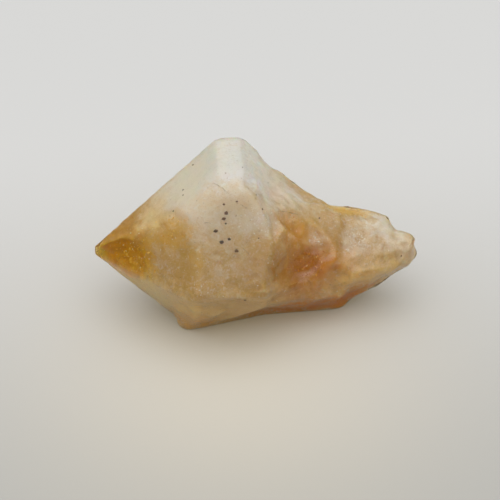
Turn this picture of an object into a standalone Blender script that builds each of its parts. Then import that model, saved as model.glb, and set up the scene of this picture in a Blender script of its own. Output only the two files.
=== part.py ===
"""Citrine crystal point: one natural quartz crystal, lying on one of its prism faces.

The ideal crystal comes first, a hexagonal prism with a six-faced pyramid about one axis. It is then
broken as quartz breaks: fracture planes close it, a stump and a tail of broken root are joined on, and
shell-shaped scoops and one flat undercut are taken out of it.

Lengths below are in millimetres in the crystal's own frame: x runs along the crystal axis from the tip
into the root, y is away from the front, and z is up from the surface that the crystal lies on. Angles
round the axis are in degrees, from the front (0) over the top (90) to the back (180). The finished
object is in metres, with its origin at the bottom centre of its bounding box.
"""

import math

import bmesh
import bpy
from mathutils import Vector

MM = 0.001

# The ideal crystal
AXIS_HEIGHT = 16.0  # axis above the rest face, so also that prism face's distance from the axis
PYRAMID_SLOPE = 36.0  # termination faces against the axis, in degrees
CHISEL_LEAD = 1.2  # the front and back faces meet in a short edge this far behind the others' apex
BROKEN_END = 46.0  # the well-formed part goes no further than this from the tip

# Each prism face and the pyramid face over it: angle round the axis, distance of the prism face from
# the axis, and how far before the tip the pyramid face would meet the axis.
CRYSTAL_FACES = {
    "front": (30.0, 16.2, 0.0),
    "top": (90.0, 21.1, CHISEL_LEAD),
    "back_top": (150.0, 21.1, CHISEL_LEAD),
    "back": (210.0, 15.2, 0.0),
    "rest": (270.0, AXIS_HEIGHT, CHISEL_LEAD),
    "front_low": (330.0, 16.0, CHISEL_LEAD),
}

# Fracture planes that close the well-formed part: a point on each and its outward direction
TOP_CHAMFER = ((34.0, 12.0, 36.75), (0.28, 0.0, 0.96))
TOP_BREAK = ((36.6, 12.0, 34.7), (0.80, -0.02, 0.60))
UNDERCUT = ((33.0, -6.4, 0.0), (0.19, -0.70, -0.69))
# The prism faces end where closing faces lean in towards the root: angle, start from the tip, lean
CLOSING_FACES = ((30.0, 38.5, 36.0), (330.0, 37.0, 24.0), (150.0, 34.5, 38.0), (210.0, 31.0, 24.0))

# Corners of the broken root, in three convex blocks that run into one another
STUMP_CORNERS = (
    # along the back of the top
    (33.0, 11.0, 31.5), (38.6, 11.0, 31.3), (41.3, 11.0, 29.8), (44.6, 9.8, 26.9), (50.5, 7.6, 23.7),
    (54.0, 6.0, 22.4),
    # along the front of the top
    (33.0, -5.0, 31.0), (39.5, -4.5, 30.2), (46.6, -1.0, 25.8), (53.0, 2.5, 23.0),
    # the belly of the front
    (34.0, -12.5, 20.0), (42.0, -13.4, 19.5), (50.0, -9.6, 17.8), (53.5, -6.5, 16.8),
    # the lower front edge
    (34.0, -14.0, 9.5), (41.0, -13.6, 9.8), (44.5, -12.6, 9.3), (50.7, -10.6, 7.6), (54.3, -9.5, 6.8),
    # under the front
    (36.0, -4.4, -1.0), (44.0, -3.0, -1.0), (53.4, -3.2, -1.0),
    # the back
    (35.0, 12.5, 24.0), (44.0, 13.6, 21.5), (52.0, 12.0, 17.0),
    (35.0, 12.0, 8.0), (44.5, 12.8, 7.0), (53.0, 10.5, 8.0), (36.0, 6.5, -1.0), (52.0, 5.0, -1.0),
    # the taper into the tail
    (60.0, 2.0, 19.0), (60.5, -5.0, 13.5), (60.0, -2.0, 5.5), (60.0, 7.5, 13.0),
)
TAIL_CORNERS = (
    # along the back of the top
    (49.0, 7.0, 22.3), (55.0, 7.2, 22.2), (59.1, 7.0, 21.6), (63.2, 6.0, 20.6), (66.2, 4.5, 19.6),
    (67.3, 3.0, 17.9),
    # along the front of the top
    (51.0, 2.5, 23.0), (57.9, 1.0, 21.3), (61.1, 1.0, 20.8), (64.9, 1.3, 19.9),
    # the belly of the front
    (50.0, -8.0, 16.0), (57.0, -6.4, 16.8), (62.5, -5.0, 17.0), (66.8, -3.6, 16.6),
    # the lower front edge
    (50.0, -9.5, 10.0), (57.2, -9.4, 12.0), (59.3, -9.0, 12.9), (61.6, -8.5, 13.4), (66.7, -6.4, 12.6),
    # along the bottom
    (50.0, -4.2, -0.5), (55.2, -4.2, 0.3), (57.0, -3.8, 2.1), (62.9, -2.8, 4.6), (65.8, -2.2, 5.9),
    (67.9, -2.0, 8.0),
    # the back
    (51.0, 12.0, 17.0), (60.0, 11.0, 15.5), (66.4, 7.4, 15.0), (60.0, 8.6, 6.5), (66.0, 5.6, 9.0),
    (51.0, 6.5, 1.0),
)
STUB_CORNERS = (
    # the flat top and the broken end
    (65.0, 3.6, 18.2), (67.9, 1.2, 17.9), (70.6, 1.0, 17.6), (71.1, 0.0, 17.5), (71.6, 2.6, 15.6),
    (72.8, -0.8, 12.0), (72.2, 2.2, 12.6),
    # the front and the bottom
    (65.0, -3.0, 17.4), (70.6, -3.2, 15.8), (66.0, -6.3, 12.6), (70.0, -4.4, 11.6), (67.9, -2.0, 7.7),
    (69.9, -1.8, 9.3),
    # the back
    (65.0, 6.4, 15.5), (70.2, 4.4, 15.4), (65.0, 5.4, 9.6), (69.6, 3.6, 10.6),
)

# The swelling low on the front, where a second growth stands proud of the pyramid
SWELLING_CORNERS = (
    (15.9, -8.8, 4.8), (17.2, -9.0, 1.7), (19.6, -8.8, -1.0), (24.0, -7.8, -1.0),
    (17.0, -11.6, 7.4), (21.0, -13.9, 5.4), (26.0, -14.2, 6.0), (18.6, -14.0, 10.6),
    (22.0, -16.4, 11.0), (27.0, -15.4, 8.0), (30.0, -14.6, 9.6), (17.0, -3.0, 2.0), (20.5, -2.0, -1.0),
    (24.0, -4.0, 12.0), (32.0, -9.0, 8.0),
)

# The broken back
BACK_BREAK = ((20.0, 15.4, 16.0), (-0.10, 0.99, 0.06))

# Shell-shaped scoops: centre and radii of the ellipsoid that is taken out
SCOOPS = {
    "front_shell": ((50.5, -26.0, 21.5), (16.0, 17.0, 15.0)),
    "top_shell": ((52.0, 8.0, 37.0), (12.0, 14.0, 13.2)),
    "tail_top_shell": ((57.5, 5.5, 34.0), (11.0, 9.0, 12.5)),
    "tail_front_shell": ((59.0, -19.0, 27.0), (11.0, 16.5, 13.0)),
    "back_shell": ((45.0, 26.0, 25.0), (16.0, 13.5, 12.0)),
    "back_low_shell": ((58.0, 19.0, 6.0), (12.0, 11.0, 9.5)),
}
SCOOP_FINENESS = 4  # subdivisions of each scoop's icosphere

RIGHT_SIDE = 90.0  # degrees between a face's direction and the axis on a prism face
CUTTER_SIZE = 200.0
CITRINE = (0.62, 0.44, 0.20, 1.0)
QUARTZ_IOR = 1.544


def clear_scene():
    for obj in list(bpy.data.objects):
        bpy.data.objects.remove(obj, do_unlink=True)


def direction(angle, lean=RIGHT_SIDE):
    """The unit direction at an angle round the axis, leaning from the tip (0) to the root (180)."""
    a, b = math.radians(angle), math.radians(lean)
    return Vector((-math.cos(b), -math.cos(a) * math.sin(b), math.sin(a) * math.sin(b)))


def on_axis(x):
    return Vector((x, 0.0, AXIS_HEIGHT))


def keep_below(bm, point, outward):
    """Cuts a convex mesh with a plane, keeps what lies behind it and closes the cut."""
    bmesh.ops.bisect_plane(
        bm,
        geom=bm.verts[:] + bm.edges[:] + bm.faces[:],
        dist=1e-6,
        plane_co=Vector(point),
        plane_no=Vector(outward).normalized(),
        clear_outer=True,
    )
    rim = [edge for edge in bm.edges if edge.is_boundary]
    if rim:
        bmesh.ops.holes_fill(bm, edges=rim)


def object_from(name, bm):
    bmesh.ops.recalc_face_normals(bm, faces=bm.faces[:])
    mesh = bpy.data.meshes.new(name)
    bm.to_mesh(mesh)
    bm.free()
    obj = bpy.data.objects.new(name, mesh)
    bpy.context.collection.objects.link(obj)
    return obj


def as_helper(obj):
    obj.hide_render = True
    obj.display_type = "WIRE"
    return obj


def well_formed_crystal():
    """Prism and pyramid, closed at the right by the fractures that the root starts from."""
    bm = bmesh.new()
    bmesh.ops.create_cube(bm, size=CUTTER_SIZE)
    for angle, distance, lead in CRYSTAL_FACES.values():
        prism = direction(angle)
        keep_below(bm, on_axis(0.0) + prism * distance, prism)
        keep_below(bm, on_axis(-lead), direction(angle, RIGHT_SIDE - PYRAMID_SLOPE))
    keep_below(bm, *TOP_CHAMFER)
    keep_below(bm, *TOP_BREAK)
    keep_below(bm, *UNDERCUT)
    distances = {angle: distance for angle, distance, _ in CRYSTAL_FACES.values()}
    for angle, start, lean in CLOSING_FACES:
        corner = on_axis(start) + direction(angle) * distances[angle]
        keep_below(bm, corner, direction(angle, RIGHT_SIDE + lean))
    keep_below(bm, on_axis(BROKEN_END), (1.0, 0.0, 0.0))
    return object_from("crystal", bm)


def block_with_corners(name, corners):
    """The convex block that has these corners."""
    bm = bmesh.new()
    for corner in corners:
        bm.verts.new(corner)
    hull = bmesh.ops.convex_hull(bm, input=bm.verts[:])
    inside = [e for e in hull["geom_interior"] if isinstance(e, bmesh.types.BMVert)]
    bmesh.ops.delete(bm, geom=inside, context="VERTS")
    return as_helper(object_from(name, bm))


def half_space(name, point, outward):
    """A large cutting block whose one face lies on the plane."""
    bm = bmesh.new()
    bmesh.ops.create_cube(bm, size=CUTTER_SIZE)
    bmesh.ops.translate(bm, verts=bm.verts[:], vec=(0.0, 0.0, CUTTER_SIZE / 2))
    turn = Vector(outward).to_track_quat("Z", "Y").to_matrix()
    bmesh.ops.rotate(bm, verts=bm.verts[:], matrix=turn)
    bmesh.ops.translate(bm, verts=bm.verts[:], vec=point)
    return as_helper(object_from(name, bm))


def scoop(name, centre, radii):
    bm = bmesh.new()
    bmesh.ops.create_icosphere(bm, subdivisions=SCOOP_FINENESS, radius=1.0)
    bmesh.ops.scale(bm, verts=bm.verts[:], vec=radii)
    bmesh.ops.translate(bm, verts=bm.verts[:], vec=centre)
    return as_helper(object_from(name, bm))


def combine(obj, operation, other):
    boolean = obj.modifiers.new(f"{operation.lower()} {other.name}", "BOOLEAN")
    boolean.operation = operation
    boolean.solver = "EXACT"
    boolean.object = other


def citrine_material():
    material = bpy.data.materials.new("citrine")
    material.use_nodes = True
    shader = material.node_tree.nodes["Principled BSDF"]
    shader.inputs["Base Color"].default_value = CITRINE
    shader.inputs["Roughness"].default_value = 0.2
    shader.inputs["Metallic"].default_value = 0.0
    shader.inputs["IOR"].default_value = QUARTZ_IOR
    shader.inputs["Transmission Weight"].default_value = 0.5
    return material


def finished(obj, name):
    """The object's evaluated mesh as a plain mesh in metres, on the origin at its bottom centre."""
    bpy.context.view_layer.update()
    evaluated = obj.evaluated_get(bpy.context.evaluated_depsgraph_get())
    mesh = bpy.data.meshes.new_from_object(evaluated)
    mesh.name = name
    corners = [Vector(v.co) for v in mesh.vertices]
    lowest = Vector([min(c[i] for c in corners) for i in range(3)])
    highest = Vector([max(c[i] for c in corners) for i in range(3)])
    middle = (lowest + highest) / 2
    for vertex in mesh.vertices:
        vertex.co = (vertex.co - Vector((middle.x, middle.y, lowest.z))) * MM
    result = bpy.data.objects.new(name, mesh)
    bpy.context.collection.objects.link(result)
    return result


def main():
    clear_scene()
    crystal = well_formed_crystal()
    for name, corners in (
        ("stump", STUMP_CORNERS),
        ("tail", TAIL_CORNERS),
        ("stub", STUB_CORNERS),
        ("swelling", SWELLING_CORNERS),
    ):
        combine(crystal, "UNION", block_with_corners(name, corners))
    for name, (centre, radii) in SCOOPS.items():
        combine(crystal, "DIFFERENCE", scoop(name, centre, radii))
    for name, point, outward in (
        ("back_break", *BACK_BREAK),
        ("rest_face", (0.0, 0.0, 0.0), (0.0, 0.0, -1.0)),
    ):
        combine(crystal, "DIFFERENCE", half_space(name, point, outward))

    point = finished(crystal, "crystal_point")
    point.data.materials.clear()
    point.data.materials.append(citrine_material())
    for obj in list(bpy.data.objects):
        if obj != point:
            bpy.data.objects.remove(obj, do_unlink=True)


main()
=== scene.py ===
"""The look of the citrine crystal point: a clear quartz skin with milk, gold and iron stain sealed inside it.

Lengths in the constants are millimetres in the part's own frame: X runs from the tip to the broken root,
Y from the front to the back, Z up from the floor.
"""

import math
import random

import bmesh
import bpy
import numpy as np
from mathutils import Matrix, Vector, noise
from mathutils.bvhtree import BVHTree
from mathutils.kdtree import KDTree


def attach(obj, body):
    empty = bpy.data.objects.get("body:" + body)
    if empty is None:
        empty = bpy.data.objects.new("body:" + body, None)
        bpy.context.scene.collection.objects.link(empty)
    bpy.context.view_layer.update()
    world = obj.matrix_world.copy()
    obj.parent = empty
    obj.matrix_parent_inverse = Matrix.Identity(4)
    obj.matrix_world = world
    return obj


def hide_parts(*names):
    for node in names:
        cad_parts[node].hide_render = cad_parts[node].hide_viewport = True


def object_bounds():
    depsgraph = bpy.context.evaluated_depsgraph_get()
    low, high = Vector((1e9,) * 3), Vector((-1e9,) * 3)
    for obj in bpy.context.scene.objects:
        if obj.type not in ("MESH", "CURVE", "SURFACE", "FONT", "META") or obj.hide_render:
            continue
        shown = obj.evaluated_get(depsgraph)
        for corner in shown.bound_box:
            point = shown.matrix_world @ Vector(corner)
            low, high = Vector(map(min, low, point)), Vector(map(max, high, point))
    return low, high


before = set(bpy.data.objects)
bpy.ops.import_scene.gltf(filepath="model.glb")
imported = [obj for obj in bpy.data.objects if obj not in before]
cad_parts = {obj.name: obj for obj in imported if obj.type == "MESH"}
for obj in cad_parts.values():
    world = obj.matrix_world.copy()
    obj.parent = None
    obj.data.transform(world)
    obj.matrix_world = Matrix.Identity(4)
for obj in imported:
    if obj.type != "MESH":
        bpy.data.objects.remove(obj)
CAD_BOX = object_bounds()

MM = 0.001
NODE = "crystal_point"
NOISE_SEED = 3
noise.seed_set(NOISE_SEED)  # noise_vector would otherwise differ from run to run

# ---------------------------------------------------------------- the crystal's form

TIP = Vector((-36.4, 0.88, 16.0))  # where the crystal axis meets the tip; the axis runs along X
PYRAMID_SLOPE = 36.0  # degrees between a pyramid face and the axis
# angle round the axis (front 0, top 90), distance of the prism face from it, start of the pyramid face
CRYSTAL_FACES = (
    (30.0, 16.2, 0.0),
    (90.0, 21.1, 1.2),
    (150.0, 21.1, 1.2),
    (210.0, 15.2, 0.0),
    (270.0, 16.0, 1.2),
    (330.0, 16.0, 1.2),
)

# The tip is clear behind one pyramid face: a drop-shaped room cut out of the milk there, from the tip inwards.
# The face's angle, the room's length down the face, then for each mm from the tip its half width and how far it
# leans to the lower side, and its depth
TIP_ROOM = (30.0, 15.3, 0.38, 0.2, 4.2)
# Here the crystal's edges have healed over into one soft surface: centre, radii and rounds of averaging
SOFT_EDGES = ((-6.0, -8.0, 33.0), (17.0, 10.0, 9.5), 260)
# Elsewhere the milk only draws back from the skin: centre, radii and how far
HOLLOWS = (
    ((11.5, -10.0, 17.5), (8.0, 6.0, 4.5), 1.0),
    ((8.5, -12.5, 13.0), (5.0, 4.0, 4.0), 1.0),
    ((8.0, -5.0, 27.5), (4.5, 3.5, 3.2), 1.0),
    ((-19.5, -7.0, 27.5), (4.5, 4.0, 4.5), 1.2),
    ((21.5, 5.5, 21.8), (6.0, 3.0, 2.5), 0.5),
    ((36.0, 0.0, 13.5), (3.5, 4.5, 6.0), 0.4),
)

# Ridges of the break at the root: points along each, height and width
RIDGES = (
    (((5.2, -8.2, 27.8), (3.7, -10.4, 26.6), (3.2, -12.1, 24.4), (0.9, -13.8, 22.9), (0.9, -14.7, 21.4),
      (2.2, -14.4, 18.4), (4.2, -14.1, 14.9)), 0.75, 0.8),
    (((6.7, -5.1, 26.2), (9.1, -3.4, 25.7), (11.8, -2.5, 24.2), (14.1, -2.9, 22.2), (15.3, -4.1, 20.3),
      (16.8, -5.1, 18.3), (15.9, -7.6, 16.9)), 0.5, 0.7),
    (((25.0, -0.9, 19.1), (25.7, 0.2, 19.6), (26.6, 1.0, 19.7), (28.8, 1.2, 19.3), (31.1, 2.3, 17.9)), 0.4, 0.6),
    (((20.5, -6.5, 14.5), (19.4, -8.2, 10.5), (18.0, -8.4, 7.9)), 0.4, 0.6),
    (((6.3, -12.5, 16.5), (8.0, -11.5, 13.5), (12.0, -10.5, 12.4), (14.3, -8.9, 15.1)), 0.35, 0.6),
)
# The shell-shaped hollow with the amber stain behind it: centre, radius, depth, step of its ripples
SHELL = ((9.5, -11.0, 20.0), 6.5, 0.55, 1.25)

# Iron stain specks just under the skin: place and radius
SPECKS = (
    (-7.2, -8.8, 31.6, 0.42), (-7.8, -9.4, 30.6, 0.42), (-9.6, -10.7, 28.4, 0.42), (-8.4, -11.9, 26.3, 0.44),
    (-6.8, -11.6, 26.8, 0.34), (-5.3, -12.9, 24.6, 0.40), (-7.7, -7.9, 33.3, 0.24), (-7.4, -9.9, 29.7, 0.22),
    (-14.0, 8.5, 33.2, 0.26), (-16.3, 1.1, 31.5, 0.24), (-16.3, -0.9, 31.4, 0.20), (-18.6, -4.4, 29.8, 0.24),
    (-4.9, -7.6, 33.7, 0.22), (1.4, -7.8, 32.4, 0.20), (-3.7, -16.5, 14.1, 0.30), (14.0, -0.4, 24.1, 0.20),
    (-3.2, 0.8, 37.0, 0.15), (-7.0, -1.2, 37.1, 0.15), (0.1, -5.3, 34.3, 0.15), (3.0, 4.3, 30.7, 0.15),
    (-0.5, -11.6, 26.8, 0.15), (32.2, -3.4, 14.7, 0.18),
)

# Bright white flecks that catch the light: place and size
SPARKS = (
    (-29.9, -2.5, 19.7, 0.32), (-21.6, -8.0, 22.0, 0.36), (-28.2, -2.2, 22.7, 0.28), (-32.8, -0.8, 18.3, 0.20),
    (-26.2, -7.2, 16.8, 0.26), (-30.9, -3.3, 13.5, 0.22), (-23.8, -7.0, 19.0, 0.30), (-27.4, -3.4, 20.9, 0.22),
    (-10.5, 5.5, 36.0, 0.24), (-1.0, 6.5, 36.9, 0.22), (3.2, 10.5, 32.2, 0.3), (-25.0, -9.5, 13.5, 0.24),
    (-20.5, -11.5, 12.0, 0.26), (-18.5, -12.5, 10.5, 0.22), (-1.0, -15.8, 17.5, 0.2), (-22.5, -4.0, 25.0, 0.2),
    (1.2, 11.9, 33.4, 0.40), (-8.8, 4.9, 36.9, 0.26), (-7.1, 4.5, 37.1, 0.26), (22.6, -2.4, 18.2, 0.30),
)

# Golden ones in the amber heart
HEART_SPARKS = (
    (11.3, -8.8, 18.3, 0.34), (9.5, -9.9, 16.5, 0.38), (7.8, -9.6, 20.1, 0.26), (13.6, -8.7, 17.8, 0.28),
    (10.5, -9.3, 17.3, 0.30), (12.4, -9.1, 16.6, 0.22), (8.8, -9.8, 18.4, 0.22), (14.5, -8.0, 16.9, 0.20),
    (10.0, -9.5, 18.9, 0.22), (12.9, -8.9, 18.9, 0.24), (9.9, -9.7, 15.3, 0.20), (13.3, -8.6, 15.9, 0.18),
)

# Hairline cracks just under the skin: their two ends
HAIRLINES = (
    ((-10.0, -3.0, 36.1), (-6.5, -6.7, 35.3)), ((-4.1, -7.9, 33.2), (-2.6, -8.4, 32.3)),
    ((-3.9, -12.6, 25.1), (-2.5, -13.3, 23.8)), ((-5.4, -13.1, 24.2), (-6.1, -13.6, 23.3)),
    ((-12.2, -9.6, 29.9), (-10.6, -9.9, 29.9)), ((4.4, -4.1, 28.8), (8.9, -2.5, 26.5)),
)

# painted light and shade: tint of the quartz on pyramid faces near the tip, by their angle; each stands in for the
# light seen through that face
FACE_LIGHT_TINTS = (
    (30.0, (1.0, 0.94, 0.34, 1.0)),
    (90.0, (1.0, 0.94, 0.60, 1.0)),
    (150.0, (1.0, 0.88, 0.55, 1.0)),
    (210.0, (1.0, 0.84, 0.42, 1.0)),
    (270.0, (1.0, 0.90, 0.60, 1.0)),
    (330.0, (1.0, 0.97, 0.80, 1.0)),
)

SKIN_VOXEL = 0.3
CORE_VOXEL = 0.36
CORE_DEPTH = 0.3  # how far the milk's surface lies under the skin
CRISP = 0.12  # height of a vertex over its neighbours' average that makes it an edge
TIP_WEAR = (0.3, 6.0)  # how much narrower the tip is at its end, and over what length it narrows

# ---------------------------------------------------------------- where the flecks lie

# each zone: (centre, radii), count, depths below the skin, sizes
WHOLE = ((0.0, 0.0, 18.0), (60.0, 40.0, 40.0))
WHITE_FLECKS = (
    (WHOLE, 4200, (0.12, 0.9), (0.04, 0.20)),
    (((0.3, -9.5, 30.0), (5.5, 4.0, 3.0)), 400, (0.12, 0.6), (0.06, 0.30)),
    (((13.0, -5.7, 21.0), (3.0, 3.0, 2.4)), 200, (0.12, 0.6), (0.06, 0.26)),
    (((21.6, -2.6, 19.0), (3.5, 3.5, 3.6)), 170, (0.12, 0.6), (0.06, 0.28)),
    (((-26.0, -4.0, 18.5), (7.0, 8.0, 7.0)), 70, (0.2, 3.0), (0.08, 0.35)),
    (((-12.0, -16.0, 17.0), (4.0, 3.0, 2.5)), 80, (0.12, 0.4), (0.05, 0.22)),
)
# no scattered white fleck lies in the amber heart
HEART = ((11.0, -10.0, 17.0), (8.0, 6.0, 5.5))
GOLD_FLECKS = (
    (((-24.5, -6.0, 20.0), (4.0, 7.0, 7.0)), 90, (0.3, 2.5), (0.10, 0.8)),
    (((-19.5, -7.0, 27.5), (5.0, 4.0, 4.5)), 70, (0.2, 1.0), (0.06, 0.35)),
    (((-28.0, -5.0, 17.0), (6.0, 4.0, 4.0)), 70, (0.3, 2.2), (0.15, 0.6)),
    (((21.0, 5.5, 21.5), (7.0, 2.5, 2.5)), 200, (0.2, 0.6), (0.08, 0.35)),
)
AMBER_FLECKS = (
    (((11.3, -9.3, 17.8), (6.0, 4.0, 3.2)), 220, (0.3, 1.8), (0.06, 0.40)),
    (((8.0, -5.0, 27.0), (4.5, 3.5, 3.2)), 60, (0.3, 1.0), (0.06, 0.30)),
)
BROWN_FLECKS = ((WHOLE, 380, (0.1, 0.35), (0.03, 0.11)),)


# ---------------------------------------------------------------- meshes


def mesh_object(name, mesh):
    obj = bpy.data.objects.new(name, mesh)
    bpy.context.scene.collection.objects.link(obj)
    return obj


def merged_copy(name, source):
    bm = bmesh.new()
    bm.from_mesh(source.data)
    bmesh.ops.remove_doubles(bm, verts=bm.verts[:], dist=1e-6)
    bmesh.ops.recalc_face_normals(bm, faces=bm.faces[:])
    mesh = bpy.data.meshes.new(name)
    bm.to_mesh(mesh)
    bm.free()
    return mesh_object(name, mesh)


def applied(obj):
    """Replaces the object's mesh with the result of its modifiers."""
    bpy.context.view_layer.update()
    evaluated = obj.evaluated_get(bpy.context.evaluated_depsgraph_get())
    mesh = bpy.data.meshes.new_from_object(evaluated)
    obj.modifiers.clear()
    obj.data = mesh
    return obj


def remeshed(obj, voxel):
    remesh = obj.modifiers.new("remesh", "REMESH")
    remesh.mode = "VOXEL"
    remesh.voxel_size = voxel * MM
    return applied(obj)


def points_of(obj):
    co = np.empty(len(obj.data.vertices) * 3, np.float32)
    obj.data.vertices.foreach_get("co", co)
    return co.reshape(-1, 3).astype(float) / MM


def normals_of(obj):
    no = np.empty(len(obj.data.vertices) * 3, np.float32)
    obj.data.vertex_normals.foreach_get("vector", no)
    return no.reshape(-1, 3).astype(float)


def edges_of(obj):
    ends = np.empty(len(obj.data.edges) * 2, np.int32)
    obj.data.edges.foreach_get("vertices", ends)
    return ends.reshape(-1, 2)


def set_points(obj, points):
    obj.data.vertices.foreach_set("co", (points * MM).astype(np.float32).ravel())
    obj.data.update()


def shade_smooth(obj):
    obj.data.polygons.foreach_set("use_smooth", [True] * len(obj.data.polygons))
    return obj


def averaged(values, ends, rounds):
    """Each vertex's value averaged with its neighbours', a few times over."""
    values = np.array(values, float)
    flat = values.reshape(len(values), -1)
    count = np.bincount(ends.ravel(), minlength=len(flat))[:, None] + 1.0
    for _ in range(rounds):
        total = flat.copy()
        np.add.at(total, ends[:, 0], flat[ends[:, 1]])
        np.add.at(total, ends[:, 1], flat[ends[:, 0]])
        flat = total / count
    return flat.reshape(values.shape)


def standing_out(points, normals, ends, rounds):
    """How far each point stands out of its neighbours' average, along its normal."""
    return -((averaged(points, ends, rounds) - points) * normals).sum(1)


def smoothstep(value, low, high):
    t = np.clip((value - low) / (high - low), 0.0, 1.0)
    return t * t * (3 - 2 * t)


def noise_at(points, size, seed=0.0):
    """Smooth noise from -1 to 1 with features about this size."""
    shift = Vector((seed * 17.3, seed * -9.1, seed * 5.7))
    return np.array([noise.noise(Vector(p) / size + shift) for p in points])


def warped(points, size, amount, seed=0.0):
    moved = np.array([noise.noise_vector(Vector(p) / size + Vector((seed, 0, 0))) for p in points])
    return points + moved * amount


def cells(points, spacing, seed):
    """Voronoi cells: each point's distance and offset from its cell's centre, and the direction that cell leans."""
    rng = np.random.default_rng(seed)
    low, high = points.min(0) - spacing, points.max(0) + spacing
    steps = [np.arange(a, b, spacing) for a, b in zip(low, high)]
    grid = np.stack(np.meshgrid(*steps, indexing="ij"), -1).reshape(-1, 3)
    centres = grid + rng.uniform(-0.45, 0.45, grid.shape) * spacing
    tree = KDTree(len(centres))
    for number, centre in enumerate(centres):
        tree.insert(centre, number)
    tree.balance()
    found = [tree.find(p) for p in points]
    nearest = np.array([number for _, number, _ in found])
    leaning = rng.normal(size=centres.shape)
    return np.array([away for _, _, away in found]), points - centres[nearest], leaning[nearest]


def fracture_shells(points, spacing, bowl, tilt, seed):
    """Heights of shell-shaped breaks: hollow, tilted cells that meet in sharp ridges. Never above zero."""
    away, offset, leaning = cells(warped(points, spacing * 1.3, spacing * 0.5, seed), spacing, seed)
    hollow = -bowl * (1.0 - np.clip(away / spacing, 0, 1) ** 2)
    slope = tilt * (offset * leaning).sum(1)
    return hollow + slope - np.abs(slope).max() * 0.35


def from_line(points, line):
    """Distance of each point from a line of straight pieces."""
    least = np.full(len(points), 1e9)
    for a, b in zip(line, line[1:]):
        a, run = np.array(a), np.subtract(b, a)
        along = np.clip((points - a) @ run / (run @ run), 0.0, 1.0)
        least = np.minimum(least, np.linalg.norm(points - a - along[:, None] * run, axis=1))
    return least


def root_shapes(points):
    """The named ridges and the rippled shell of the break."""
    moved = warped(points, 2.5, 0.5, 31)
    height = np.zeros(len(points))
    for line, tall, width in RIDGES:
        height += tall * np.exp(-((from_line(moved, line) / width) ** 2))
    centre, radius, deep, step = SHELL
    away = np.linalg.norm(moved - np.array(centre), axis=1)
    inside = 1 - smoothstep(away, radius * 0.55, radius)
    return height - inside * (deep + 0.13 * np.sin(away * 2 * math.pi / step))


def crystal_planes():
    """A point on each crystal face's plane, its outward normal and its angle round the axis."""
    planes = []
    for angle, distance, lead in CRYSTAL_FACES:
        a, b = math.radians(angle), math.radians(90.0 - PYRAMID_SLOPE)
        side = Vector((0.0, -math.cos(a), math.sin(a)))
        planes.append((TIP + side * distance, side, angle))
        pyramid = Vector((-math.cos(b), 0, 0)) + side * math.sin(b)
        planes.append((TIP - Vector((lead, 0, 0)), pyramid, angle))
    return planes


def face_share(points, normals):
    """1 on the crystal's own faces, 0 where it is broken."""
    share = np.zeros(len(points))
    for point, outward, _ in crystal_planes():
        away = np.abs((points - np.array(point)) @ np.array(outward))
        facing = normals @ np.array(outward)
        share = np.maximum(share, (1 - smoothstep(away, 0.1, 0.35)) * smoothstep(facing, 0.8, 0.95))
    return share


def skin_mesh():
    skin = remeshed(merged_copy("crystal_skin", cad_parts[NODE]), SKIN_VOXEL)
    points, normals, ends = points_of(skin), normals_of(skin), edges_of(skin)
    on_face = averaged(face_share(points, normals), ends, 3)
    broken = 1.0 - on_face
    centre, radii, rounds = SOFT_EDGES
    soft = 1 - smoothstep(np.linalg.norm((points - np.array(centre)) / np.array(radii), axis=1), 0.6, 1.0)
    points += (averaged(points, ends, rounds) - points) * soft[:, None]
    set_points(skin, points)
    normals = normals_of(skin)
    convex = np.clip(standing_out(points, normals, ends, 4) / CRISP, 0.0, 1.0)

    breaks = (
        fracture_shells(points, 6.5, 0.45, 0.05, 3)
        + fracture_shells(points, 2.6, 0.22, 0.05, 5)
        + fracture_shells(points, 1.1, 0.08, 0.04, 8)
    )
    hills = 0.05 * noise_at(points, 3.2, 1) + 0.03 * noise_at(points, 1.1, 2) - 0.06
    lines = 0.018 * noise_at(points * np.array([4.0, 0.35, 0.35]), 1.0, 4)
    pits = -0.16 * smoothstep(noise_at(points, 0.55, 6), 0.42, 0.62)
    chips = -0.5 * convex * smoothstep(noise_at(points, 1.4, 7), 0.05, 0.5)
    relief = broken * (breaks + 0.35 + root_shapes(points)) + on_face * (hills + lines + pits)
    relief = np.minimum(relief, 0.7 * (1 - convex)) + chips
    # level where it rests
    relief = averaged(relief, ends, 2) * smoothstep(points[:, 2], 0.1, 2.5)
    near_tip = 1 - smoothstep(points[:, 0], TIP.x + 0.6, TIP.x + 2.4)
    relief *= 1 - 0.9 * near_tip
    set_points(skin, points + normals * relief[:, None])
    remeshed(skin, SKIN_VOXEL)  # folds where two breaks meet are resolved into one clean surface
    low, high = (np.array(c) / MM for c in CAD_BOX)
    points, normals, ends = points_of(skin), normals_of(skin), edges_of(skin)
    # small knobs that stick out are worn down
    knobs = np.clip(standing_out(points, normals, ends, 5) / CRISP - 0.3, 0.0, 1.0)
    knobs *= smoothstep(points[:, 0], -34.0, -30.0)
    points = averaged(points + (averaged(points, ends, 10) - points) * knobs[:, None], ends, 1)
    # the relief has moved the ends a little: stretched back to the box
    least, most = points.min(0), points.max(0)
    points = low + (points - least) / (most - least) * (high - low)
    points[:, 2][points[:, 2] < 0.06] = 0.0
    # the last millimetres of the tip come to a finer point
    from_axis = points[:, 1:] - np.array(TIP[1:])
    worn, length = TIP_WEAR
    inward = worn * (1 - smoothstep(points[:, :1], TIP.x, TIP.x + length))
    narrow = np.maximum(0.3, 1 - inward / np.maximum(np.linalg.norm(from_axis, axis=1)[:, None], 0.01))
    points[:, 1:] = np.array(TIP[1:]) + from_axis * narrow
    set_points(skin, points)
    return shade_smooth(skin)


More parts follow.
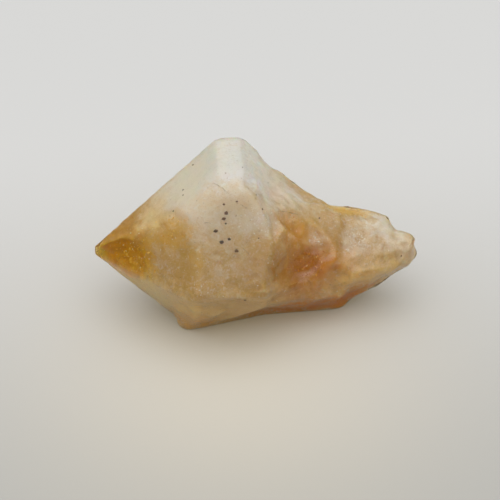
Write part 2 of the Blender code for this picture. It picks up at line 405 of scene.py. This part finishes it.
def tip_cutter():
    angle, length, widening, leaning, deep = TIP_ROOM
    a, b = math.radians(angle), math.radians(PYRAMID_SLOPE)
    side = Vector((0.0, -math.cos(a), math.sin(a)))
    down = Vector((math.cos(b), 0, 0)) + side * math.sin(b)
    outward = Vector((-math.sin(b), 0, 0)) + side * math.cos(b)
    across = outward.cross(down)
    bm = bmesh.new()
    bmesh.ops.create_icosphere(bm, subdivisions=5, radius=1.0)
    for vert in bm.verts:
        rough = 1.0 + 0.10 * noise.noise(vert.co * 2.2) + 0.05 * noise.noise(vert.co * 6.0)
        far = length * (vert.co.x * rough + 1) / 2
        spread = vert.co.y * rough * (1.3 + widening * far) - leaning * (far + 1)
        # deepest part way down the face, then shallower and more uneven to a ragged end
        end = smoothstep(far, length * 0.45, length * 0.95)
        uneven = 1 + end * (1.0 * noise.noise(vert.co * 5.0) + 0.6 * noise.noise(vert.co * 11.0))
        into = vert.co.z * rough * min(deep, 1.0 + 0.5 * far) * (1 - 0.7 * end) * max(uneven, 0.3)
        vert.co = (TIP + down * (far + 0.2) + across * spread + outward * into) * MM
    mesh = bpy.data.meshes.new("tip_cutter")
    bm.to_mesh(mesh)
    bm.free()
    return remeshed(mesh_object("tip_cutter", mesh), CORE_VOXEL)


def core_mesh(skin):
    """The milky body: the skin's shape smaller and softer, open at the tip and hollowed where the quartz is clear."""
    core = remeshed(merged_copy("milk_core", skin), CORE_VOXEL)
    points, ends = points_of(core), edges_of(core)
    low_down = 1 - smoothstep(points[:, 2:], 1.0, 6.0)
    close = np.maximum(smoothstep(points[:, :1], -5.0, 1.0), low_down)
    tip_end = 1 - smoothstep(points[:, :1], -31.0, -25.0)
    close = np.maximum(close, tip_end)
    set_points(core, averaged(points, ends, 24) * (1 - close) + averaged(points, ends, 1) * close)
    set_points(core, points_of(core) - (CORE_DEPTH - 0.25 * low_down - 0.12 * tip_end) * normals_of(core))
    remeshed(core, CORE_VOXEL)
    boolean = core.modifiers.new("tip", "BOOLEAN")
    boolean.operation = "DIFFERENCE"
    boolean.solver = "EXACT"
    boolean.object = tip_cutter()
    applied(core)
    bpy.data.objects.remove(bpy.data.objects["tip_cutter"], do_unlink=True)
    remeshed(core, CORE_VOXEL)

    points, normals, ends = points_of(core), normals_of(core), edges_of(core)
    wandering = warped(points, 4.0, 1.5, 21)
    pockets = 0.9 * smoothstep(noise_at(points, 5.5, 11), -0.15, 0.55)
    pockets += 0.35 * smoothstep(noise_at(points, 1.9, 12), -0.1, 0.5)
    depth = pockets * (1 - 0.85 * smoothstep(points[:, 2], 22.0, 31.0))
    depth *= 1 - 0.8 * smoothstep(points[:, 1], 0.0, 5.0) * smoothstep(points[:, 2], 14.0, 20.0)
    for centre, radii, far in HOLLOWS:
        away = np.linalg.norm((wandering - np.array(centre)) / np.array(radii), axis=1)
        depth += far * (1 - smoothstep(away, 0.45, 1.15))
    ragged = (1 - smoothstep(points[:, 0], -25.0, -19.0)) * smoothstep(points[:, 0], -35.5, -32.5)
    depth += ragged * (0.5 * noise_at(points, 1.8, 13) + 0.35 * noise_at(points, 0.8, 14) + 0.2)
    depth *= smoothstep(points[:, 2], 0.0, 5.0)
    points = averaged(points - normals * depth[:, None], ends, 1)
    # nothing of it may come through the skin
    surface = surface_tree(skin)
    for number, point in enumerate(points):
        least = 0.04 if point[2] < 1.5 else 0.15
        place, outward = below_skin(surface, point, least)
        if (place - Vector(point)).dot(outward) < 0:
            points[number] = place
    set_points(core, points)
    return shade_smooth(core)


def is_under(surface, point):
    place, outward, _, _ = surface.find_nearest(Vector(point) * MM)
    return (place / MM - Vector(point)).dot(outward) > 0.03


def below_skin(surface, point, depth):
    """The place this deep under the skin's nearest point, and the outward direction there."""
    place, outward, _, _ = surface.find_nearest(Vector(point) * MM)
    return place / MM - outward * depth, outward


def scattered(skin, zone, count, depths, rng):
    """Places inside a zone (centre, radii) at a depth below the skin, each with the outward direction."""
    centre, radii = (np.array(part) for part in zone)
    points, normals = points_of(skin), normals_of(skin)
    away = np.linalg.norm((points - centre) / radii, axis=1)
    near = np.nonzero(away < 1.0)[0]
    weights = (1 - away[near]) ** 0.6
    chosen = rng.choice(near, count, p=weights / weights.sum())
    deep = rng.uniform(*depths, (count, 1))
    jitter = rng.normal(size=(count, 3)) * 0.12
    return points[chosen] - normals[chosen] * deep + jitter, normals[chosen]


def plates(name, skin, places, facing, sizes, rng, flatness=0.18, spread=0.8):
    """One mesh of small flat crystals: each an octahedron pressed thin along its own direction."""
    count = len(places)
    thin = facing + spread * rng.normal(size=(count, 3))
    thin /= np.linalg.norm(thin, axis=1)[:, None]
    long = np.cross(thin, rng.normal(size=(count, 3)))
    long /= np.linalg.norm(long, axis=1)[:, None]
    wide = np.cross(thin, long)
    half = sizes[:, None]
    arms = np.stack([
        places + long * half, places - long * half,
        places + wide * half * 0.6, places - wide * half * 0.6,
        places + thin * half * flatness, places - thin * half * flatness,
    ], 1)
    surface = surface_tree(skin)
    kept = [k for k, arm in enumerate(arms) if all(is_under(surface, tip) for tip in arm)]
    arms, count = arms[kept], len(kept)
    corners = np.array([(0, 2, 4), (2, 1, 4), (1, 3, 4), (3, 0, 4), (2, 0, 5), (1, 2, 5), (3, 1, 5), (0, 3, 5)])
    faces = (corners[None] + 6 * np.arange(count)[:, None, None]).reshape(-1, 3)
    mesh = bpy.data.meshes.new(name)
    mesh.from_pydata((arms.reshape(-1, 3) * MM).tolist(), [], faces.tolist())
    mesh.update()
    bm = bmesh.new()
    bm.from_mesh(mesh)
    bmesh.ops.recalc_face_normals(bm, faces=bm.faces[:])
    bm.to_mesh(mesh)
    bm.free()
    return mesh_object(name, mesh)


def flecks(name, skin, zones, seed, named=(), clear=None):
    """Plates scattered through several zones ((centre, radii), count, depths, sizes) but not through the clear one,
    and some at named places."""
    rng = np.random.default_rng(seed)
    places, facing, sizes = [], [], []
    for zone, count, depths, (small, large) in zones:
        found, outward = scattered(skin, zone, count, depths, rng)
        if clear:
            away = np.linalg.norm((found - np.array(clear[0])) / np.array(clear[1]), axis=1)
            found, outward = found[away > 1], outward[away > 1]
            count = len(found)
        places.append(found)
        facing.append(outward)
        sizes.append(small + (large - small) * rng.random(count) ** 3)
    if named:
        surface = surface_tree(skin)
        found = [below_skin(surface, spark[:3], 0.12 + spark[3] * 0.6) for spark in named]
        places.append(np.array([place for place, _ in found]))
        facing.append(np.array([outward for _, outward in found]))
        sizes.append(np.array([spark[3] for spark in named]))
    return plates(name, skin, np.concatenate(places), np.concatenate(facing), np.concatenate(sizes), rng)


def speck_mesh(skin):
    surface = surface_tree(skin)
    bm = bmesh.new()
    for number, (x, y, z, radius) in enumerate(SPECKS):
        place, outward = below_skin(surface, (x, y, z), 0.08 + 0.35 * radius)
        turn = outward.to_track_quat("Z", "Y").to_matrix()
        made = bmesh.ops.create_icosphere(bm, subdivisions=2, radius=1.0)["verts"]
        for vert in made:
            rough = 1 + 0.5 * noise.noise(vert.co * 1.4 + Vector((number * 5.1, 0, 0)))
            shape = Vector((vert.co.x, vert.co.y * 0.85, vert.co.z * 0.45)) * radius * rough
            vert.co = (place + turn @ shape) * MM
    mesh = bpy.data.meshes.new("iron_specks")
    bm.to_mesh(mesh)
    bm.free()
    return mesh_object("iron_specks", mesh)


def hairline_mesh(skin):
    """Each hairline is a thin ribbon-like rod, broken into short bends, just under the skin."""
    surface = surface_tree(skin)
    rng = random.Random(4)
    bm = bmesh.new()
    for start, end in HAIRLINES:
        a, b = Vector(start), Vector(end)
        count = max(4, int((b - a).length / 0.35))
        rings = []
        for step in range(count + 1):
            t = step / count
            wander = Vector([rng.uniform(-0.09, 0.09) for _ in range(3)])
            place, outward = below_skin(surface, a.lerp(b, t) + wander, 0.16)
            across = (b - a).normalized().cross(outward)
            half = 0.05 * math.sin(math.pi * (0.12 + 0.76 * t)) * rng.uniform(0.6, 1.3)
            rings.append([
                bm.verts.new((place + across * half) * MM), bm.verts.new((place + outward * half) * MM),
                bm.verts.new((place - across * half) * MM), bm.verts.new((place - outward * half * 3) * MM),
            ])
        for near, far in zip(rings, rings[1:]):
            for k in range(4):
                bm.faces.new((near[k], near[(k + 1) % 4], far[(k + 1) % 4], far[k]))
        bm.faces.new(rings[0][::-1])
        bm.faces.new(rings[-1])
    bmesh.ops.recalc_face_normals(bm, faces=bm.faces[:])
    mesh = bpy.data.meshes.new("hairlines")
    bm.to_mesh(mesh)
    bm.free()
    return mesh_object("hairlines", mesh)


def surface_tree(obj):
    bm = bmesh.new()
    bm.from_mesh(obj.data)
    tree = BVHTree.FromBMesh(bm)
    bm.free()
    return tree


# ---------------------------------------------------------------- materials


class Nodes:
    """A material's node tree, with short ways to add nodes to it. Its point is the place in millimetres."""

    def __init__(self, name):
        self.material = bpy.data.materials.new(name)
        self.material.use_nodes = True
        self.tree = self.material.node_tree
        self.shader = self.tree.nodes["Principled BSDF"]
        self.output = self.tree.nodes["Material Output"]
        place = self.add("ShaderNodeTexCoord").outputs["Object"]
        self.point = self.vector("SCALE", place, scale=1 / MM)
        wander = self.add(
            "ShaderNodeTexNoise", {"Vector": self.point, "Scale": 0.25, "Detail": 5.0, "Roughness": 0.6}
        )
        shift = self.vector("SUBTRACT", wander.outputs["Color"], (0.5, 0.5, 0.5))
        self.wandered = self.vector("ADD", self.point, self.vector("SCALE", shift, scale=7.0))
        # breaks up the edges of the zones: cloudy, with streaks along the crystal
        streaks = self.vector("MULTIPLY", self.wandered, (0.5, 1.0, 1.3))
        self.ragged = self.noise(1.3, 5.0, 0.65, 0.4, at=streaks)

    def add(self, kind, inputs=None, **settings):
        node = self.tree.nodes.new(kind)
        for key, value in settings.items():
            setattr(node, key, value)
        for key, value in (inputs or {}).items():
            self.feed(node.inputs[key], value)
        return node

    def feed(self, socket, value):
        if isinstance(value, bpy.types.NodeSocket):
            self.tree.links.new(value, socket)
        else:
            socket.default_value = value

    def vector(self, operation, a, b=None, scale=None):
        node = self.add("ShaderNodeVectorMath", {0: a}, operation=operation)
        if b is not None:
            self.feed(node.inputs[1], b)
        if scale is not None:
            node.inputs["Scale"].default_value = scale
        return node.outputs["Value" if operation in ("LENGTH", "DOT_PRODUCT") else "Vector"]

    def math(self, operation, a, b=0.0):
        return self.add("ShaderNodeMath", {0: a, 1: b}, operation=operation).outputs[0]

    def step(self, value, low, high, start=0.0, end=1.0):
        node = self.add(
            "ShaderNodeMapRange",
            {"Value": value, "From Min": low, "From Max": high, "To Min": start, "To Max": end},
            interpolation_type="SMOOTHSTEP",
        )
        return node.outputs[0]

    def noise(self, size, detail=3.0, roughness=0.55, distortion=0.0, at=None):
        return self.add(
            "ShaderNodeTexNoise",
            {
                "Vector": self.point if at is None else at,
                "Scale": 1 / size,
                "Detail": detail,
                "Roughness": roughness,
                "Distortion": distortion,
            },
        ).outputs["Fac"]

    def mix(self, share, a, b):
        return self.add("ShaderNodeMix", {0: share, 6: a, 7: b}, data_type="RGBA").outputs[2]

    def zone(self, centre, radii, soft=0.5):
        """1 inside the ellipsoid, falling to 0 outside it, with a wandering, cloudy edge."""
        away = self.vector("SUBTRACT", self.wandered, centre)
        away = self.vector("LENGTH", self.vector("DIVIDE", away, radii))
        cloudy = self.math("MULTIPLY", self.math("SUBTRACT", 0.5, self.ragged), 2.0)
        return self.step(self.math("ADD", away, cloudy), 1 + soft, 1 - soft)

    def painted(self, base, zones):
        """The base colour with each zone's colour over it: (centre, radii, softness, strength, colour)."""
        for centre, radii, soft, strength, colour in zones:
            share = self.math("MULTIPLY", self.zone(centre, radii, soft), strength)
            base = self.mix(share, base, srgb(colour))
        return base

    def bump(self, height, strength, distance):
        node = self.add("ShaderNodeBump", {"Height": height, "Strength": strength, "Distance": distance * MM})
        self.feed(self.shader.inputs["Normal"], node.outputs["Normal"])


def srgb(colour):
    """Linear RGBA from 0-255 display values."""
    parts = [c / 255 for c in colour]
    return tuple(c / 12.92 if c <= 0.04045 else ((c + 0.055) / 1.055) ** 2.4 for c in parts) + (1.0,)


WHITE = (250, 247, 246)
PEARL = (244, 234, 222)
CREAM = (238, 222, 198)
TAN = (228, 200, 150)
DEEP_TAN = (214, 176, 106)
GOLD = (238, 188, 60)
HONEY = (216, 168, 92)
LEMON = (252, 218, 142)
AMBER = (230, 174, 70)
DARK_AMBER = (206, 130, 14)

MILK_ZONES = (
    ((-30.5, -1.0, 17.0), (8.0, 14.0, 12.0), 0.6, 0.85, HONEY),
    ((-29.0, -4.5, 11.0), (8.0, 8.0, 4.0), 0.5, 0.9, LEMON),
    ((-29.0, -3.8, 16.8), (8.0, 6.0, 3.2), 0.5, 0.9, GOLD),
    ((-19.5, -7.5, 26.6), (4.0, 3.5, 3.4), 0.8, 0.75, GOLD),
    ((-23.5, -3.5, 23.5), (4.0, 4.0, 3.0), 0.8, 0.4, GOLD),
    ((-14.5, -13.0, 23.0), (2.2, 2.5, 2.0), 0.7, 0.3, GOLD),
    ((-22.0, -9.0, 9.0), (8.0, 7.0, 6.0), 0.7, 0.9, (255, 232, 180)),
    ((11.0, -8.5, 18.0), (10.0, 5.0, 7.5), 0.9, 0.85, (234, 174, 66)),
    ((12.0, -9.0, 17.0), (6.5, 4.0, 3.2), 0.95, 0.95, (216, 142, 12)),
    ((8.5, -11.5, 12.0), (6.0, 4.0, 5.0), 0.7, 0.9, DARK_AMBER),
    ((8.5, -5.0, 25.5), (6.0, 4.0, 3.5), 0.8, 0.85, AMBER),
    ((21.0, 6.0, 21.5), (6.5, 2.0, 1.8), 0.6, 0.75, (255, 222, 132)),
    # painted light: the top pyramid face lightened so it reads as evenly lit as the crest
    ((-15.5, 4.0, 31.5), (9.5, 8.5, 7.5), 0.7, 1.0, (255, 244, 232)),
    # painted shade: the crest's top face a little greyer, evening out the stronger overhead light on it
    ((-4.0, 2.0, 37.0), (5.5, 9.0, 3.0), 0.7, 0.7, (246, 245, 246)),
    ((0.5, -9.5, 30.0), (5.0, 3.0, 2.5), 0.6, 0.5, PEARL),
    ((13.0, -5.7, 21.0), (2.5, 2.5, 2.0), 0.7, 0.3, PEARL),
    ((21.6, -2.6, 19.0), (3.0, 3.0, 3.5), 0.7, 0.4, PEARL),
    ((30.0, 2.0, 19.5), (6.0, 4.0, 3.0), 0.7, 0.9, WHITE),
    ((6.5, 4.5, 29.0), (7.0, 7.0, 5.5), 0.7, 0.8, PEARL),
    ((-23.3, -0.5, 25.6), (4.2, 4.5, 2.8), 0.8, 0.85, (250, 228, 188)),
    # painted light: the upper right facet lightened, evening out the overhead light on it
    ((3.0, 5.0, 33.0), (5.0, 6.0, 4.0), 0.7, 0.9, (255, 244, 232)),
    # painted shade: the ridge under the crest darkened to tan, so its rounded edge does not show as a bright line
    ((-5.5, -7.5, 33.5), (8.0, 4.0, 3.0), 0.8, 0.7, TAN),
    ((2.0, -13.0, 17.0), (7.0, 4.0, 8.5), 0.8, 0.5, (210, 164, 90)),
    ((-8.0, -13.5, 8.0), (17.0, 7.0, 7.0), 0.7, 0.8, (250, 218, 156)),
    ((34.0, -2.0, 15.5), (6.5, 6.0, 5.0), 0.95, 0.6, CREAM),
    ((26.0, -6.5, 9.5), (9.5, 6.0, 4.5), 0.7, 0.75, (255, 218, 146)),
    # deep amber underside: partly the stone's amber, partly a painted glow of light passing through it
    ((16.0, -6.0, 4.0), (19.0, 5.0, 4.0), 0.4, 0.9, (228, 148, 36)),
    ((-14.0, -12.0, 3.5), (7.0, 5.0, 4.0), 0.6, 0.5, AMBER),
)


def milk_material():
    nodes = Nodes("milk")
    height = nodes.add("ShaderNodeSeparateXYZ", {0: nodes.wandered}).outputs["Z"]
    clouds = nodes.noise(5.0, 4.0, 0.6, 0.8)
    # painted light and shade: white towards the top, where the overhead light falls, and deeper tan lower down, where
    # less of it reaches
    base = nodes.mix(nodes.step(height, 16.0, 29.0), srgb(DEEP_TAN), srgb(TAN))
    base = nodes.mix(nodes.step(height, 26.0, 35.0), base, srgb(WHITE))
    base = nodes.mix(nodes.step(clouds, 0.45, 0.75, 0.0, 0.3), base, srgb(WHITE))
    fine = nodes.noise(1.1, 6.0, 0.75, 1.2)
    base = nodes.mix(nodes.step(fine, 0.5, 0.66, 0.0, 0.45), base, srgb(WHITE))
    base = nodes.mix(nodes.step(fine, 0.48, 0.34, 0.0, 0.45), base, srgb(DEEP_TAN))
    # wisps: thin threads where a stretched noise crosses its middle value, in patches
    threads = nodes.noise(2.0, 4.0, 0.6, 1.5, at=nodes.vector("MULTIPLY", nodes.wandered, (0.6, 1.0, 1.5)))
    threads = nodes.step(nodes.math("ABSOLUTE", nodes.math("SUBTRACT", threads, 0.5)), 0.035, 0.004)
    patches = nodes.step(nodes.noise(4.0, 2.0), 0.45, 0.62, 0.0, 0.4)
    base = nodes.mix(nodes.math("MULTIPLY", threads, patches), base, srgb(PEARL))
    base = nodes.painted(base, MILK_ZONES)
    dust = nodes.step(nodes.noise(0.45, 2.0, 0.5), 0.68, 0.74, 0.0, 0.45)
    base = nodes.mix(dust, base, srgb((150, 112, 62)))
    nodes.bump(nodes.noise(0.8, 5.0, 0.7, 0.8), 0.8, 0.3)
    nodes.feed(nodes.shader.inputs["Base Color"], base)
    nodes.shader.inputs["Roughness"].default_value = 0.7
    nodes.shader.inputs["Subsurface Weight"].default_value = 0.7
    nodes.shader.inputs["Subsurface Radius"].default_value = (1.0, 0.7, 0.4)
    nodes.shader.inputs["Subsurface Scale"].default_value = 0.0025
    return nodes.material


def quartz_material():
    """Clear quartz, golden by absorption and by a gold tint at the tip; that tint differs from one pyramid face to
    the next, painted to stand in for the light seen through each face.
    """
    nodes = Nodes("quartz")
    gold = nodes.zone((-36.0, -2.0, 16.0), (13.0, 12.0, 9.5), 0.4)
    away, furthest = {}, None
    for point, outward, angle in crystal_planes():
        if outward.x < -0.1:
            offset = nodes.vector("SUBTRACT", nodes.point, tuple(point))
            away[angle] = nodes.vector("DOT_PRODUCT", offset, tuple(outward))
            furthest = away[angle] if furthest is None else nodes.math("MAXIMUM", furthest, away[angle])
    # each face's painted tint, standing in for the light seen through it
    tint = (1.0, 1.0, 1.0, 1.0)
    for angle, colour in FACE_LIGHT_TINTS:
        on_face = nodes.step(nodes.math("SUBTRACT", away[angle], furthest), -0.12, -0.02)
        tint = nodes.mix(nodes.math("MULTIPLY", gold, on_face), tint, colour)
    nodes.feed(nodes.shader.inputs["Base Color"], tint)
    grain = nodes.noise(0.9, 4.0, 0.6)
    rough = nodes.step(grain, 0.3, 0.75, 0.05, 0.22)
    rough = nodes.math("MULTIPLY", rough, nodes.step(gold, 0.0, 1.0, 1.0, 0.3))
    worn = nodes.vector("LENGTH", nodes.vector("SUBTRACT", nodes.point, tuple(TIP)))
    nodes.feed(nodes.shader.inputs["Roughness"], nodes.math("ADD", rough, nodes.step(worn, 2.6, 1.2, 0.0, 0.2)))
    nodes.bump(nodes.noise(0.5, 3.0, 0.6), 0.25, 0.05)
    nodes.shader.inputs["IOR"].default_value = 1.544
    nodes.shader.inputs["Specular IOR Level"].default_value = 0.2
    nodes.shader.inputs["Transmission Weight"].default_value = 1.0
    absorption = nodes.add("ShaderNodeVolumeAbsorption")
    absorption.inputs["Color"].default_value = (0.985, 0.85, 0.05, 1)
    absorption.inputs["Density"].default_value = 85.0
    nodes.tree.links.new(absorption.outputs[0], nodes.output.inputs["Volume"])
    return nodes.material


def plate_material(name, colours, roughness):
    """A mineral grain whose colour varies from place to place between two colours."""
    nodes = Nodes(name)
    share = nodes.step(nodes.noise(0.8, 2.0), 0.35, 0.65)
    nodes.feed(nodes.shader.inputs["Base Color"], nodes.mix(share, srgb(colours[0]), srgb(colours[1])))
    nodes.shader.inputs["Roughness"].default_value = roughness
    return nodes.material


def finished(obj, material):
    obj.data.materials.clear()
    obj.data.materials.append(material)
    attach(obj, "root")
    return obj


skin = skin_mesh()
core = core_mesh(skin)
finished(skin, quartz_material())
finished(core, milk_material())
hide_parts(NODE)

white_flecks = flecks("white_flecks", skin, WHITE_FLECKS, 1, SPARKS, HEART)
gold_flecks = flecks("gold_flecks", skin, GOLD_FLECKS, 2, HEART_SPARKS)
amber_flecks = flecks("amber_flecks", skin, AMBER_FLECKS, 3)
brown_flecks = flecks("brown_flecks", skin, BROWN_FLECKS, 5)
specks = speck_mesh(skin)
hairlines = hairline_mesh(skin)
finished(white_flecks, plate_material("white_fleck", ((255, 252, 248), (250, 240, 226)), 0.35))
finished(gold_flecks, plate_material("gold_fleck", ((255, 226, 140), (236, 176, 60)), 0.3))
finished(amber_flecks, plate_material("amber_fleck", ((250, 184, 50), (196, 112, 10)), 0.3))
finished(specks, plate_material("iron_stain", ((126, 88, 46), (74, 50, 22)), 0.6))
finished(brown_flecks, plate_material("brown_fleck", ((176, 140, 92), (120, 84, 44)), 0.5))
finished(hairlines, plate_material("hairline", ((222, 206, 176), (120, 98, 66)), 0.4))

# ---------------------------------------------------------------- floor, light and camera

# painted shade: the floor's front colour is darker than its back
FLOOR_FRONT_SHADED, FLOOR_BACK = (0.345, 0.345, 0.332, 1), (0.53, 0.53, 0.525, 1)
HORIZON, OVERHEAD = (1.0, 0.84, 0.44, 1), (0.97, 0.98, 1.0, 1)
BRIGHTEST = (-0.05, -0.08, 0.995)  # the direction in which the sky is brightest

bpy.ops.mesh.primitive_plane_add(size=6.0)
floor = bpy.context.object
floor.name = "floor"
floor.location.z = -0.0001
paper = bpy.data.materials.new("paper")
paper.use_nodes = True
# painted shade: a little darker and warmer towards the front, where the light falls off
card = paper.node_tree.nodes
slant = card.new("ShaderNodeSeparateXYZ")
paper.node_tree.links.new(card.new("ShaderNodeTexCoord").outputs["Object"], slant.inputs[0])
fall = card.new("ShaderNodeMapRange")
fall.interpolation_type = "SMOOTHSTEP"
fall.inputs["From Min"].default_value = -0.09
fall.inputs["From Max"].default_value = 0.08
paper.node_tree.links.new(slant.outputs["Y"], fall.inputs["Value"])
shade = card.new("ShaderNodeMix")
shade.data_type = "RGBA"
shade.inputs[6].default_value = FLOOR_FRONT_SHADED
shade.inputs[7].default_value = FLOOR_BACK
paper.node_tree.links.new(fall.outputs[0], shade.inputs[0])
paper.node_tree.links.new(shade.outputs[2], card["Principled BSDF"].inputs["Base Color"])
card["Principled BSDF"].inputs["Roughness"].default_value = 0.9
floor.data.materials.append(paper)

world = bpy.data.worlds.new("studio")
bpy.context.scene.world = world
world.use_nodes = True
# brightest overhead, dim and warm near the horizon, as in a light tent
sky = world.node_tree
heading = sky.nodes.new("ShaderNodeTexCoord").outputs["Generated"]


def towards(direction, low, high, start, end):
    """Goes from start to end as the direction looked in turns towards this one."""
    ahead = sky.nodes.new("ShaderNodeVectorMath")
    ahead.operation = "DOT_PRODUCT"
    sky.links.new(heading, ahead.inputs[0])
    ahead.inputs[1].default_value = direction
    turn = sky.nodes.new("ShaderNodeMapRange")
    turn.interpolation_type = "SMOOTHSTEP"
    sky.links.new(ahead.outputs["Value"], turn.inputs["Value"])
    for name, value in (("From Min", low), ("From Max", high), ("To Min", start), ("To Max", end)):
        turn.inputs[name].default_value = value
    return turn.outputs[0]


warmth = sky.nodes.new("ShaderNodeMix")
warmth.data_type = "RGBA"
warmth.inputs[6].default_value = HORIZON
warmth.inputs[7].default_value = OVERHEAD
sky.links.new(towards(BRIGHTEST, 0.05, 0.65, 0.0, 1.0), warmth.inputs[0])
background = sky.nodes["Background"].inputs
sky.links.new(warmth.outputs[2], background["Color"])
sky.links.new(towards(BRIGHTEST, 0.0, 1.0, 0.26, 1.6), background["Strength"])

lamp = bpy.data.lights.new("softbox", "AREA")
lamp.size = 0.9
lamp.energy = 1.0
softbox = bpy.data.objects.new("softbox", lamp)
bpy.context.scene.collection.objects.link(softbox)
softbox.location = (0.05, -0.05, 0.70)
softbox.rotation_euler = (-softbox.location).to_track_quat("-Z", "Y").to_euler()

# the golden light that the crystal passes on to the floor round it: it reaches only the floor, unshadowed
passed = bpy.data.lights.new("passed_light", "AREA")
passed.size = 0.05
passed.energy = 0.013
passed.color = (1.0, 0.72, 0.26)
passing = bpy.data.objects.new("passed_light", passed)
bpy.context.scene.collection.objects.link(passing)
passing.location = (-0.006, -0.028, 0.05)
lit, blockers = bpy.data.collections.new("lit"), bpy.data.collections.new("blockers")
lit.objects.link(floor)
blockers.objects.link(floor)
passing.light_linking.receiver_collection = lit
passing.light_linking.blocker_collection = blockers

ELEVATION, AZIMUTH, DISTANCE = math.radians(36.0), math.radians(-3.3), 300.0
TARGET = Vector((-1.669, 0.278, 15.151))
back = Vector((
    math.sin(AZIMUTH) * math.cos(ELEVATION),
    -math.cos(AZIMUTH) * math.cos(ELEVATION),
    math.sin(ELEVATION),
))
lens = bpy.data.cameras.new("camera")
lens.sensor_width = 36.0
lens.lens = 96.0
lens.clip_start = 0.01
camera = bpy.data.objects.new("camera", lens)
bpy.context.scene.collection.objects.link(camera)
camera.location = (TARGET + back * DISTANCE) * MM
camera.rotation_euler = back.to_track_quat("Z", "Y").to_euler()
bpy.context.scene.camera = camera
bpy.context.scene.view_settings.view_transform = "Standard"
